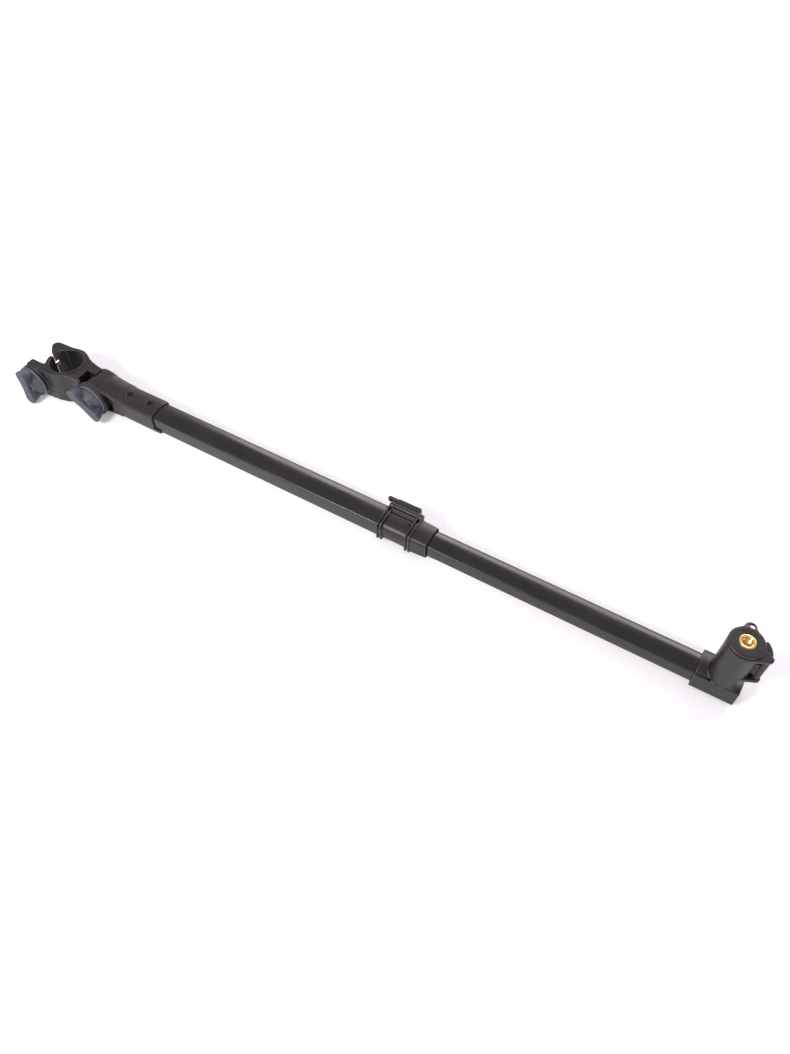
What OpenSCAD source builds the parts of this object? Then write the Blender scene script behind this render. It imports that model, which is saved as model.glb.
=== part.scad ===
// Telescopic support arm: a ring clamp for a 36 mm post, a tilting knuckle,
// two sliding flat-oval tubes with a lever collar, and an upright end socket
// that carries a threaded brass insert.
// Frame: origin at the middle of the clamp bore, +Z along the bore, +X along
// the arm toward the threaded end, -Y the side that carries both wing knobs.

/* [Clamp] */
// Bore that grips the post
bore_d = 36; // [30:0.5:40]
// Height of the clamp along the post
clamp_h = 37; // [30:1:40]
// Thickness of the lining in the bore
liner_t = 1.8; // [1.5:0.1:2.2]
// Wall of the ring outside the lining
ring_wall = 3.2; // [2.8:0.2:4]
// Distance from the bore to the clamping bolt
bolt_x = 28; // [27:0.5:30]
// Bolt diameter of the clamp
stud_d = 6; // [5:0.5:7]

/* [Knuckle] */
// Distance from the bore to the tilt axis
pivot_x = 46.5; // [46:0.5:50]
// Diameter of the knuckle barrel
barrel_d = 35; // [34:0.5:36]
// Width of the knuckle barrel along its axis
barrel_w = 29; // [28:0.5:32]
// Diameter of the pivot bolt
pivot_d = 8; // [6:0.5:9]
// Thickness of the tongue in the knuckle
tongue_w = 13; // [12:0.5:14]
// Diameter of the disc of each wing knob
knob_d = 36; // [34:0.5:37]
// Length of a knob's wings, tip to tip
wing_l = 45; // [40:1:50]
// Height of a wing above its disc
wing_h = 13; // [10:0.5:16]

/* [Tubes] */
// Width of the outer tube
tube_w = 24.8; // [24:0.2:26]
// Height of the flat sides of the outer tube
tube_side = 16.4; // [15:0.2:17]
// Rise of the arched top and bottom
tube_rise = 3.2; // [2.8:0.1:3.4]
// Wall of both tubes
tube_t = 1.3; // [1:0.1:1.4]
// Sliding gap between the tubes, each side
tube_gap = 0.3; // [0.25:0.05:0.4]
// Where the outer tube starts inside the knuckle socket
tube_start = 80; // [78:1:84]
// Right end of the knuckle socket
socket_end = 129; // [126:1:134]
// Where the lever collar starts
collar_x = 402; // [380:1:430]
// Left end of the inner tube when pushed home
inner_start = 132; // [130:1:150]
// Left face of the end socket when pushed home
end_x = 704; // [690:1:740]

/* [End socket] */
// Distance from the face of the end socket to its upright barrel
post_dx = 21.5; // [21:0.5:24]
// Diameter of the upright barrel
post_d = 28.4; // [27:0.2:30]
// Height of the barrel rim above the middle of the arm
post_top = 57; // [50:1:62]
// Diameter of the bore that holds the plug
plug_bore = 22; // [20:0.5:22]
// Outer diameter of the brass insert
brass_d = 13; // [12:0.2:14]
// Minor diameter of the thread in the brass insert
thread_d = 8; // [6:0.1:9]

/* [Hidden] */
$fn = 64;

plastic = "#2b2a2c";
knob_grey = "#4c5560";
tube_black = "#1f1d1e";
steel = "#b9bcc0";
brass = "#d9a93a";
rubber = "#1c1c1e";
black_steel = "#2c2a2e";

fit = 0.3;       // gap between pieces that move past each other
run = 0.08;      // radial running gap of a pin in its bore
eps = 0.02;      // overlap that joins primitives of one solid
crossing = 0.01; // how far a corner arc stands over the arch it runs into
over = 1;        // how far a cutting shape stands out of the face it cuts
away = 60;       // reach of a cut that runs right out of the part
seat = 0.05;     // room round a piece that is fixed in its seat
snug = 0.02;     // room round a piece that is pressed in
rim_arc = 128;   // segments of the wide arches
small_arc = 32;  // segments of their corners

// Clamp
bore_r = bore_d / 2;
liner_r = bore_r + liner_t;
ring_r = liner_r + ring_wall;
clamp_z = clamp_h / 2;
jaw_x = 35;          // left end of both jaws
far_jaw_y = 12.4;    // far side of the gap beside the bore
jaw_pad_y = 7;       // inner face of the far jaw beside the bolt
jaw_pad_x = -19;     // right end of that face
far_jaw_t = 8.6;     // thickness of the far jaw
near_jaw_y = -14.5;  // inner face of the near jaw
near_jaw_t = 12;     // thickness of the near jaw
jaw_round = 4;       // corner radius of the far jaw
near_jaw_end = -6;   // right end of the near jaw, inside the ring
near_jaw_side = 1.5; // how far its plate stands in from the boss
arm_open = 3;        // how much farther the lining is cut back beside the near arm
gap_end = -8;        // right end of the room between the jaws, inside the bore
boss_r = clamp_z - 0.3;       // round boss behind the clamp knob
boss_far = near_jaw_y - 4;    // far face of that boss
neck_x = 8;          // left end of the neck, inside the ring
arm_tip_y = -1.5;    // where the near arm of the ring ends
neck_w = 28.5;       // width of the neck
neck_near = -neck_w / 2 - 1;
neck_far = neck_w / 2 - 1;
neck_end = 29.5;     // right face of the neck above the tongue
panel_x = -20;       // left end of the near wall
panel_reach = 3;     // how far that wall stands past the neck
panel_near = -neck_w / 2 - 8.5;
panel_far = -neck_w / 2 + 1;
sweep_r = 16.5;      // hollow that the near wall sweeps round
sweep_x = neck_end - 6;       // middle of that hollow
sweep_y = -ring_r - 9.5;
panel_round = 5;     // upper right corner of the near wall
stud_r = stud_d / 2;
stud_hole_r = stud_r + 0.3;
nut_r = 5;
nut_y = far_jaw_y + 3;        // floor of the nut pocket
nut_in = 0.6;        // how deep the nut sits below the jaw
far_jaw_far = far_jaw_y + far_jaw_t;
liner_lip = 0.7;     // lip of the lining over both faces of the ring
lip_reach = 0.6;     // how far the lip reaches over the ring
knob1_y = near_jaw_y - near_jaw_t;

// Knuckle
barrel_r = barrel_d / 2;
pivot_r = pivot_d / 2;
tongue_y = -5.5;     // middle of the tongue
tongue_r = 13.6;     // round end of the tongue
tongue_top = 7;      // top of the tongue beside the neck
cheek_gap = 0.5;     // air between the tongue's root and the cheek
cheek_end = pivot_x - 6;      // right end of the cheek
cavity_r = 14.1;     // cavity for the tongue in the barrel
cup_r = 19.8;        // cup round the pivot knob
cup_l = 4;           // length of the cup
cup_depth = 2.5;     // recess for the knob disc
cup_room = 0.7;      // air round the knob disc in the cup
knob_bore_l = 4;     // how far the knob's bore goes past its nut
knob_r = knob_d / 2;
disc_t = 3;          // thickness of a knob disc
washer_t = 1;
knob_gap = 0.1;      // air between a washer and its knob
wing_round = 7;      // round end of a wing
wing_t = 12;         // thickness of the bar of the wings
waist_r = 17;        // hollow at the waist of the wings
waist_y = 21.5;      // middle of that hollow
cone_low = 15;       // cone under the wings, its radius at the disc
cone_top = 8.5;
cone_h = 6;
clamp_washer_r = 8;
pivot_washer_r = 10;
stud_out = 11.5;     // how far the stud reaches into its knob
stud_short = 1;      // how far it ends inside the far jaw
knob2_y = -barrel_w / 2 - cup_l + cup_depth;
bolt_head_t = 4;
bolt_flat_r = 7.5;   // pocket of the bolt head, to its corners
nut_t = 7;           // height of the nut moulded into the pivot knob
knob_nut_r = 6.5;
web_x = 15;          // end of the high part of the web, from the pivot
web_h = 16.4;        // half height of the web there
web_low_x = 34;      // where the web meets the sleeve, from the pivot
web_side = 13.2;     // flat side of the outline that trims the web
web_rise = 3.4;
scoop_h = 17;        // height of the scoops behind the barrel
scoop_y = 10.5;      // their floor
scoop_out = 16;      // their outer side, inside the cup
scoop_x = 15.5;      // their left end, from the pivot
scoop_mid = 19;      // where their floor starts to rise
scoop_end = 39;      // their right end
mouth_x = 30;        // how far the mouth of the tongue is cut to the left
mouth_low = 12;      // the same in the lower half, where the neck swings down
mouth_right = tongue_top + 1.5;

// Tubes
tube_r = tube_w / 2;
side_h = tube_side / 2;
corner_r = 1.6;
in_w = tube_r - tube_t - tube_gap;
in_h = side_h - tube_t - tube_gap;
socket_wall = 1.8;
socket_round = 2.6;
socket_back = 6;     // how far the sleeve reaches left of the tube
lip_l = 7;           // how far the lip reaches past the sleeve
lip_z = -6;          // top of the lip
socket_w = tube_r + socket_wall;
socket_h = side_h + socket_wall;
screw_xs = [90, 117];
screw_r = 3.4;
screw_hole_r = 4.2;  // recess round a screw head
screw_shank = 2;
screw_head = 1.05;   // height of a screw head
screw_in = tube_t + 0.6;      // how far a shank reaches below the tube's top
screw_hex = 1.5;
screw_hex_z = 0.5;   // floor of the hexagon, above the tube
inner_rise = tube_rise - 0.3;
inner_corner = 1.3;
bore_rise = tube_rise - 0.1;  // arch of the sliding way
tube_bore_corner = corner_r - 0.6;
inner_bore_corner = 0.8;
cap_t = 2;           // flange of the plug in the left end of the inner tube
cap_l = 12;          // length of that plug
tube_top = side_h + tube_rise;

// Collar
flange_t = 5;
recess_l = 25;
collar_in = collar_x + flange_t;          // left side of the recess
collar_out = collar_in + recess_l;        // right side of the recess
sleeve_x = collar_out + flange_t;
collar_end = sleeve_x + 17;
flange_w = tube_r + 2.8;
flange_h = side_h + 2.2;
flange_rib = 1.4;    // thickness of each of its two ribs
channel_w = flange_w - 1.8;   // floor of the channel between the ribs
channel_h = side_h + 0.9;
channel_round = 2.2;
ear_r = 3.4;         // ear round the lever pin
ear_foot = 4.5;      // near edge of the ear's foot, from the pin
ear_back = 1;
ear_top = 2;
channel_out = 5;     // how far the channel's cutter stands out at the top
hood_y = 6.2;        // near edge of the hood, from the lever pin
hood_top_y = 3.5;    // ridge of the hood
hood_far_y = 2.9;
hood_z = 1.6;        // height of the ridge above the pin
hood_low = 9.5;      // underside of the hood, inside the collar
way_w = in_w + tube_gap;      // sliding way through the collar
way_h = in_h + tube_gap;
bush_l = 2;          // left face of the bush, from the sleeve
neck_sleeve_w = tube_r + 1.4;
neck_sleeve_h = side_h + 1.2;
neck_sleeve_round = 2.4;
screw_boss_r = 2.3;
screw_boss_low = 9;
screw_boss_z = tube_top + 0.3;
small_head_r = 1.7;
small_head_h = 1.2;
small_shank = 1.1;
small_shank_l = 1.6;
small_hex = 0.9;
outer_end = collar_in - 0.6;              // right end of the outer tube
pad_x = collar_in + 5.2;                  // left side of the window of the brake pad
collar_screw_x = collar_out - 2.6;
lever_y = 12.2;
lever_z = 12.2;
lever_pin_r = 1.5;
hub_r = 2.6;         // eccentric hub of the collar lever
hub_off = 0.28;      // how far the hub sits off its pin, each way
pad_t = 1.5;
handle_y = 16.9;
handle_t = 3;
handle_low = -12;
handle_lip = 2;      // round lip at the foot of the handle
bar_over = 6;        // how far the thumb bar reaches past the collar
bar_low = 2.2;       // underside of the bar, below the pin
bar_top = 3.4;       // top of the bar, above the pin
pad_window_z = 4;    // underside, near, far and right side of the pad's window
pad_window_y = -1;
pad_window_far = lever_y - 1.6;
pad_window_end = collar_out - 7.2;
pad_far = lever_y - 2.5;      // far side of the pad
pad_spread = 3.7;    // how far its outline stands out at the sides
pad_round = 2;
hub_room = hub_r + 1.2;
handle_slot_z = 1.5; // lower end of the slot in which the handle's root turns
root_low = 1;        // underside and top of that root, from the pin
root_top = 2.4;
bar_near = 0.9;      // near and far side of the thumb bar, from the handle
bar_far = 0.6;
bar_end = 1;

// End socket
post_x = end_x + post_dx;
post_r = post_d / 2;
box_w = in_w + 3.1;
box_h = in_h + 2;
box_end = post_x + post_r + 1;
cover_in = 2.4;      // how far the arched cover stands in from the sides
cover_rise = 0.6;
cover_round = 1.2;
skirt_r = post_r + 1;
skirt_h = 3;
end_screw_xs = [end_x + 4, end_x + 8];
end_screw_r = 1.4;
end_head_r = 1.9;
end_head_z = -box_h - 2.4;    // seat of a screw head under the socket
end_head_h = 0.8;
in_end = post_x - post_r + 1.5;           // right end of the inner tube
plug_r = plug_bore / 2;
shaft_r = plug_r - 0.3;
plug_low = 24;
cavity_low = 20;
head_low = post_top + 1.3;
head_t = 3;
head_top = head_low + head_t;
head_r = 14.4;
lever_gap_low = 27;
pin_x = post_x + 19.3;
pin_y = -3;
end_pin_r = 1.5;
plate_t = 3.4;
plate_r = 3.4;       // round end of the pin plates
plate_l = 13;        // length of their far edge, from the round end
lever_gap_top = post_top - plate_t;
slot_turn = 55;      // direction that the far edge of the plates faces
cam_r = 2.7;         // eccentric hub of the end lever
cam_off = 0.4;       // how far that hub sits off its pin
thumb_r = 17.3;      // outer curve of the thumb piece
thumb_low = lever_gap_low - 2;
thumb_x = 4;         // middle of that curve, from the post
thumb_y = -2;
thumb_side = -0.8;   // near side of the thumb piece
thumb_far = [30, 24.3];       // direction of its far side
pin_in = 1;          // how far the pin bores stop short of the outer faces
pad_w = 7;           // width of the window of the brake pad
pad_end = 6;         // room left above and below that window
web_near = 0.2;      // near side of the ribbed wall of the lever
web_far = 2.2;
web_t = 1.6;         // left and right face of the web, from the pin
web_right = 1.7;
wall_x = 15.6;       // left end of the wall, from the post
rib_x = 17.1;        // groove in the wall, from the post
rib_in = 2;          // how far it stops short of the wall's ends
pad_in = 1.6;        // how far the end pad reaches into the plug bore
rib_hole_r = 0.45;   // groove down that wall
tab_y = 15.8;
tab_r = 4.8;
tab_x = -1;          // the tab leans to the left
tab_foot = [6.5, -7.5];       // its right and left edge at the head
tab_edge = [3.8, -5.8];       // the same at the round end
tab_root = 11;
eye_r = 2;           // eyelet in the tab
ring_r0 = 0.85;      // friction ring, radius of its section
ring_in = 0.75;      // how deep its middle sits in the shaft
ring_z = plug_low + 6;
groove_h = 1.1;      // half height of its groove
groove_in = 1.65;    // depth of the groove
insert_l = 15.9;
insert_up = 0.2;     // how far the brass stands over the head
chamfer = 0.8;

// Flat-oval outline: flat sides, arched top and bottom, round corners
module oval(w, h, rise, r) {
  arch = (w * w + rise * rise) / (2 * rise);
  drop = arch - h - rise;
  yc = sqrt((arch - r) * (arch - r) - (w - r) * (w - r)) - drop + crossing;
  xt = (w - r) * arch / (arch - r);
  square([2 * w, 2 * yc], center = true);
  intersection() {
    translate([0, -drop]) circle(r = arch, $fn = rim_arc);
    translate([0, drop]) circle(r = arch, $fn = rim_arc);
    square([2 * xt, 4 * h], center = true);
  }
  for (sx = [-1, 1], sy = [-1, 1])
    translate([sx * (w - r), sy * yc]) circle(r = r, $fn = small_arc);
}

// The outline above, pulled along X
module oval_bar(x0, x1, w, h, rise, r) {
  translate([x0, 0, 0]) rotate([90, 0, 90])
    linear_extrude(height = x1 - x0) oval(w, h, rise, r);
}

// Cylinder along X
module rod_x(x0, x1, y, z, r) {
  translate([x0, y, z]) rotate([0, 90, 0]) cylinder(r = r, h = x1 - x0);
}

// Cylinder along Y, from y0 up to y1
module rod_y(x, z, y0, y1, r, sides = $fn) {
  translate([x, y1, z]) rotate([90, 0, 0]) cylinder(r = r, h = y1 - y0, $fn = sides);
}

// Cylinder along Z
module rod_z(x, y, z0, z1, r) {
  translate([x, y, z0]) cylinder(r = r, h = z1 - z0);
}

// Box from its lowest to its highest corner
module block(a, b) {
  translate(a) cube(b - a);
}

// Upright slab with rounded vertical edges
module round_slab(x0, x1, y0, y1, z0, z1, r) {
  block([x0 + r, y0, z0], [x1 - r, y1, z1]);
  block([x0, y0 + r, z0], [x1, y1 - r, z1]);
  for (x = [x0 + r, x1 - r], y = [y0 + r, y1 - r]) rod_z(x, y, z0, z1, r);
}

// Room that the jaws leave open, to the left of the bore
module jaw_gap(h) {
  block([-away, arm_tip_y, -h], [gap_end, jaw_pad_y, h]);
  block([jaw_pad_x, arm_tip_y, -h], [gap_end, far_jaw_y, h]);
}

module clamp_body() {
  color(plastic) difference() {
    union() {
      rod_z(0, 0, -clamp_z, clamp_z, ring_r);
      // far jaw, flush with the ring
      round_slab(-jaw_x, 0, jaw_pad_y, far_jaw_far, -clamp_z, clamp_z, jaw_round);
      // near jaw with a round boss for the knob
      round_slab(-jaw_x - 1, near_jaw_end, knob1_y + near_jaw_side, near_jaw_y,
        -clamp_z, clamp_z, jaw_round - 1);
      rod_y(-bolt_x, 0, knob1_y, boss_far, boss_r);
      // neck to the knuckle
      block([neck_x, neck_near, -clamp_z], [neck_end, neck_far, clamp_z]);
      near_panel();
      far_cheek();
      tongue();
    }
    rod_z(0, 0, -clamp_z - over, clamp_z + over, liner_r);
    jaw_gap(clamp_z + over);
    // the near arm of the ring stands clear of the near jaw
    block([-away, near_jaw_y, -clamp_z - over], [-ring_r - eps, jaw_pad_y, clamp_z + over]);
    // clearance bore of the stud and pocket of the nut
    rod_y(-bolt_x, 0, knob1_y - over, near_jaw_y + over, stud_hole_r);
    rod_y(-bolt_x, 0, jaw_pad_y - over, far_jaw_far + over, stud_hole_r);
    rod_y(-bolt_x, 0, nut_y, far_jaw_far + over, nut_r, 6);
    // room for the barrel and its cup, concentric with the pivot
    difference() {
      rod_y(pivot_x, 0, -away, away, barrel_r + fit);
      tongue();
    }
    rod_y(pivot_x, 0, -away, -barrel_w / 2 + 1 + fit, cup_r + fit);
    rod_y(pivot_x, 0, -away, away, pivot_r + run);
  }
}

// Smooth near wall that sweeps from the near jaw to the neck
module near_panel() {
  x1 = neck_end + panel_reach;
  z1 = clamp_z - panel_round;
  difference() {
    union() {
      block([panel_x, panel_near, -clamp_z], [neck_end, panel_far, clamp_z]);
      // rounded upper corner beside the barrel; the lower one makes room for tilting
      block([neck_end - panel_reach, panel_near, 0], [x1, panel_far, z1]);
      rod_y(x1 - panel_round, z1, panel_near, panel_far, panel_round);
    }
    rod_z(sweep_x, sweep_y, -clamp_z - over, clamp_z + over, sweep_r);
  }
}

// Short cheek beside the tongue, hollowed to follow the barrel
module far_cheek() {
  y0 = tongue_y + tongue_w / 2 + cheek_gap;
  block([neck_end - over, y0, -tongue_top + cheek_gap], [cheek_end, neck_far, clamp_z]);
}

module tongue() {
  y0 = tongue_y - tongue_w / 2;
  y1 = tongue_y + tongue_w / 2;
  difference() {
    union() {
      block([neck_end - over, y0, -tongue_top - 1], [pivot_x, y1, tongue_top]);
      rod_y(pivot_x, 0, y0, y1, tongue_r);
    }
    rod_y(pivot_x, 0, -away, away, pivot_r + run);
  }
}

module bore_liner() {
  z1 = clamp_z + liner_lip;
  color(rubber) difference() {
    union() {
      rod_z(0, 0, -z1, z1, liner_r - snug);
      for (z = [clamp_z, -z1]) rod_z(0, 0, z, z + liner_lip, liner_r + lip_reach);
    }
    rod_z(0, 0, -z1 - over, z1 + over, bore_r);
    block([-away, arm_tip_y, -z1 - over], [gap_end, far_jaw_y, z1 + over]);
    block([-away, arm_tip_y - arm_open, -z1 - over], [-ring_r + arm_open, far_jaw_y, z1 + over]);
  }
}

module clamp_nut() {
  color(brass) difference() {
    rod_y(-bolt_x, 0, nut_y, far_jaw_far - nut_in, nut_r - snug, 6);
    rod_y(-bolt_x, 0, nut_y - over, far_jaw_far, stud_r + run);
  }
}

module clamp_washer() {
  color(steel) difference() {
    rod_y(-bolt_x, 0, knob1_y - washer_t, knob1_y, clamp_washer_r);
    rod_y(-bolt_x, 0, knob1_y - 2 * washer_t, knob1_y + over, stud_hole_r);
  }
}

// Waisted two-wing grip on a round disc; its back face is at y0
module wing_knob(x, y0, turn) {
  tip = wing_l / 2 - wing_round;
  translate([x, y0, 0]) rotate([90, turn, 0]) {
    cylinder(r = knob_r, h = disc_t);
    translate([0, 0, disc_t - eps]) cylinder(r1 = cone_low, r2 = cone_top, h = cone_h);
    translate([0, 0, disc_t - eps]) linear_extrude(height = wing_h) difference() {
      union() {
        square([2 * tip, wing_t], center = true);
        for (s = [-1, 1]) translate([s * tip, 0]) circle(r = wing_round);
      }
      for (s = [-1, 1]) translate([0, s * waist_y]) circle(r = waist_r);
    }
  }
}

module clamp_knob() {
  color(knob_grey) difference() {
    wing_knob(-bolt_x, knob1_y - washer_t - knob_gap, 90);
    rod_y(-bolt_x, 0, knob1_y - stud_out - 0.5, knob1_y + over, stud_r + snug);
  }
}

module clamp_stud() {
  color(steel) rod_y(-bolt_x, 0, knob1_y - stud_out, far_jaw_far - stud_short, stud_r);
}

// Side outline of the web between the barrel and the sleeve, one half
function web_half(s) = [[pivot_x, s * (barrel_r - over)], [pivot_x + web_x, s * web_h],
  [pivot_x + web_low_x, s * (socket_h + tube_rise)]];

module arm_socket() {
  slot_y0 = tongue_y - tongue_w / 2 - fit;
  slot_y1 = tongue_y + tongue_w / 2 + fit;
  cup_y = -barrel_w / 2 - cup_l;
  color(plastic) difference() {
    union() {
      rod_y(pivot_x, 0, -barrel_w / 2, barrel_w / 2, barrel_r);
      rod_y(pivot_x, 0, cup_y, -barrel_w / 2 + over, cup_r);
      oval_bar(tube_start - socket_back, socket_end, socket_w, socket_h, tube_rise, socket_round);
      // lip under the tube, longer than the sleeve
      intersection() {
        oval_bar(socket_end - over, socket_end + lip_l, socket_w, socket_h, tube_rise, socket_round);
        block([0, -away, -away], [socket_end + away, away, lip_z]);
      }
      // web that narrows from the barrel to the sleeve
      intersection() {
        translate([0, socket_w, 0]) rotate([90, 0, 0]) linear_extrude(height = 2 * socket_w)
          polygon(concat(web_half(1), [for (i = [2:-1:0]) web_half(-1)[i]]));
        oval_bar(pivot_x, tube_start, socket_w, web_side, web_rise, socket_round);
      }
    }
    // pocket for the outer tube
    oval_bar(tube_start, socket_end + lip_l + over, tube_r + seat, side_h + seat, tube_rise, corner_r);
    // scoops on both sides behind the barrel
    for (s = [-1, 1]) linear_extrude(height = scoop_h, center = true)
      polygon([[pivot_x + scoop_x, s * scoop_out], [pivot_x + scoop_x, s * scoop_y],
        [pivot_x + scoop_mid, s * scoop_y], [pivot_x + scoop_end, s * socket_w],
        [pivot_x + scoop_end, s * scoop_out]]);
    // cup recess, pivot bore, bolt head pocket
    rod_y(pivot_x, 0, cup_y - over, cup_y + cup_depth, knob_r + cup_room);
    rod_y(pivot_x, 0, -away, away, pivot_r + run);
    rod_y(pivot_x, 0, barrel_w / 2 - bolt_head_t, barrel_w / 2 + over, bolt_flat_r, 6);
    // cavity and mouth for the tongue, open to the left and below
    rod_y(pivot_x, 0, slot_y0, slot_y1, cavity_r);
    block([pivot_x - mouth_x, slot_y0, -away], [pivot_x, slot_y1, tongue_top + fit]);
    block([pivot_x - mouth_low, slot_y0, -away], [pivot_x + mouth_right, slot_y1, 0]);
    // recesses and holes of the two screws
    for (x = screw_xs) {
      rod_z(x, 0, tube_top + seat, tube_top + away, screw_hole_r);
      rod_z(x, 0, 0, away, screw_shank + snug);
    }
  }
}

module socket_screws() {
  color(black_steel) for (x = screw_xs) difference() {
    union() {
      rod_z(x, 0, tube_top + seat, tube_top + seat + screw_head, screw_r);
      rod_z(x, 0, tube_top - screw_in, tube_top + seat + eps, screw_shank);
    }
    translate([x, 0, tube_top + screw_hex_z]) cylinder(r = screw_hex, h = away, $fn = 6);
  }
}

module pivot_bolt() {
  y1 = barrel_w / 2;
  color(steel) union() {
    rod_y(pivot_x, 0, y1 - bolt_head_t, y1 - 0.5, bolt_flat_r - 0.1, 6);
    rod_y(pivot_x, 0, knob2_y - disc_t - nut_t, y1 - bolt_head_t + eps, pivot_r);
  }
}

module pivot_washer() {
  color(steel) difference() {
    rod_y(pivot_x, 0, knob2_y - washer_t, knob2_y, pivot_washer_r);
    rod_y(pivot_x, 0, knob2_y - 2 * washer_t, knob2_y + over, pivot_r + run);
  }
}

module pivot_knob() {
  y0 = knob2_y - washer_t - knob_gap;
  color(knob_grey) difference() {
    wing_knob(pivot_x, y0, 37);
    rod_y(pivot_x, 0, y0 - nut_t - knob_bore_l, y0 + over, pivot_r + fit);
    rod_y(pivot_x, 0, y0 - nut_t, y0 + over, knob_nut_r, 6);
  }
}

module pivot_knob_nut() {
  y0 = knob2_y - washer_t - knob_gap;
  color(brass) difference() {
    rod_y(pivot_x, 0, y0 - nut_t + snug, y0 - knob_gap, knob_nut_r - snug, 6);
    rod_y(pivot_x, 0, y0 - nut_t - over, y0, pivot_r + run);
  }
}

module outer_tube() {
  color(tube_black) difference() {
    oval_bar(tube_start + 0.1, outer_end, tube_r, side_h, tube_rise, corner_r);
    oval_bar(0, outer_end + over, tube_r - tube_t, side_h - tube_t, tube_rise, tube_bore_corner);
    for (x = screw_xs) rod_z(x, 0, 0, away, screw_shank + snug);
  }
}

// One upright flange of the collar, two thin ribs with a channel between
module flange(x0) {
  x1 = x0 + flange_t;
  difference() {
    union() {
      oval_bar(x0, x1, flange_w, flange_h, tube_rise, socket_round);
      // ear round the lever pin
      block([x0, lever_y - ear_foot, 0], [x1, lever_y + ear_back, lever_z + ear_top]);
      rod_x(x0, x1, lever_y, lever_z, ear_r);
    }
    difference() {
      oval_bar(x0 + flange_rib, x1 - flange_rib, flange_w + over, side_h + channel_out,
        tube_rise, socket_round);
      oval_bar(x0, x1, channel_w, channel_h, tube_rise, channel_round);
      rod_x(x0, x1, lever_y, lever_z, ear_r);
    }
  }
}

// Sloping hood between the flanges, on the near side of the lever hub
module lever_hood() {
  translate([collar_in - eps, 0, 0]) rotate([90, 0, 90])
    linear_extrude(height = recess_l + 2 * eps)
      polygon([[lever_y - hood_y, hood_low], [lever_y - hood_y, lever_z - 0.1],
        [lever_y - hood_top_y, lever_z + hood_z], [lever_y - hood_far_y, lever_z + hood_z],
        [lever_y - hood_far_y, hood_low]]);
}

// Way through the collar in which the inner tube slides
module slide_way() {
  oval_bar(0, collar_end + over, way_w, way_h, bore_rise, 1);
}

module collar_body() {
  color(plastic) difference() {
    union() {
      flange(collar_x);
      flange(collar_out);
      oval_bar(collar_x, sleeve_x, tube_r + 2, side_h, tube_rise, socket_round);
      oval_bar(sleeve_x - over, collar_end, neck_sleeve_w, neck_sleeve_h, tube_rise, neck_sleeve_round);
      rod_z(collar_screw_x, 0, screw_boss_low, screw_boss_z, screw_boss_r);
      lever_hood();
    }
    // seat of the outer tube, then of the bush, then the slide way
    oval_bar(collar_x - over, outer_end + 0.1, tube_r + seat, side_h + seat, tube_rise, corner_r);
    oval_bar(sleeve_x + bush_l, collar_end + over, tube_r, side_h, tube_rise, corner_r);
    slide_way();
    // window of the brake pad and room for the lever hub
    block([pad_x, pad_window_y, pad_window_z], [pad_window_end, pad_window_far, away]);
    rod_x(collar_in - 0.01, collar_out + 0.01, lever_y, lever_z, hub_room);
    block([collar_in, lever_y, handle_slot_z], [collar_out, away, away]);
    rod_x(collar_x + 1, sleeve_x - 1, lever_y, lever_z, lever_pin_r + run);
    rod_z(collar_screw_x, 0, 0, away, small_shank + snug);
  }
}

module collar_bush() {
  color(rubber) difference() {
    oval_bar(sleeve_x + bush_l + seat, collar_end - 1, tube_r - snug, side_h - snug,
      tube_rise, corner_r);
    slide_way();
  }
}

module collar_screw() {
  x = collar_screw_x;
  z = screw_boss_z;
  color(black_steel) difference() {
    union() {
      rod_z(x, 0, z, z + small_head_h, small_head_r);
      rod_z(x, 0, z - small_shank_l, z + eps, small_shank);
    }
    translate([x, 0, z + small_head_h / 2]) cylinder(r = small_hex, h = away, $fn = 6);
  }
}

module collar_lever_pin() {
  color(steel) rod_x(collar_x + 1.1, sleeve_x - 1.1, lever_y, lever_z, lever_pin_r);
}

module collar_lever() {
  x0 = collar_in + fit;
  x1 = collar_out - fit;
  y1 = handle_y + handle_t;
  color(plastic) difference() {
    union() {
      rod_x(x0, x1, lever_y - hub_off, lever_z - hub_off, hub_r);
      block([x0, lever_y, lever_z - root_low], [x1, y1, lever_z + root_top]);
      // handle down the far side
      block([x0, handle_y, handle_low], [x1, y1, lever_z]);
      rod_x(x0, x1, y1, handle_low + 1, handle_lip);
      // thumb bar along the top, longer than the handle
      block([collar_x - bar_over, handle_y - bar_near, lever_z - bar_low],
        [x1 - bar_end, y1 - bar_far, lever_z + bar_top]);
    }
    rod_x(x0 - 1, x1 + 1, lever_y, lever_z, lever_pin_r + run);
  }
}

module collar_pad() {
  x0 = pad_x + fit;
  x1 = pad_window_end - fit;
  color(rubber) intersection() {
    difference() {
      oval_bar(x0, x1, way_w + pad_spread, way_h + pad_t, tube_rise, pad_round);
      slide_way();
    }
    block([x0, pad_window_y + fit, pad_window_z], [x1, pad_far, away]);
  }
}

module inner_tube() {
  color(tube_black) difference() {
    oval_bar(inner_start, in_end, in_w, in_h, inner_rise, inner_corner);
    oval_bar(0, in_end + over, in_w - tube_t, in_h - tube_t, inner_rise, inner_bore_corner);
    for (x = end_screw_xs) rod_z(x, 0, -away, 0, end_screw_r);
  }
}

module inner_tube_plug() {
  w = in_w - tube_t;
  h = in_h - tube_t;
  color(plastic) union() {
    oval_bar(inner_start - cap_t, inner_start - snug, in_w, in_h, inner_rise, inner_corner);
    oval_bar(inner_start - 0.1, inner_start + cap_l, w - seat, h - seat, inner_rise - snug,
      inner_bore_corner);
  }
}

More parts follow.
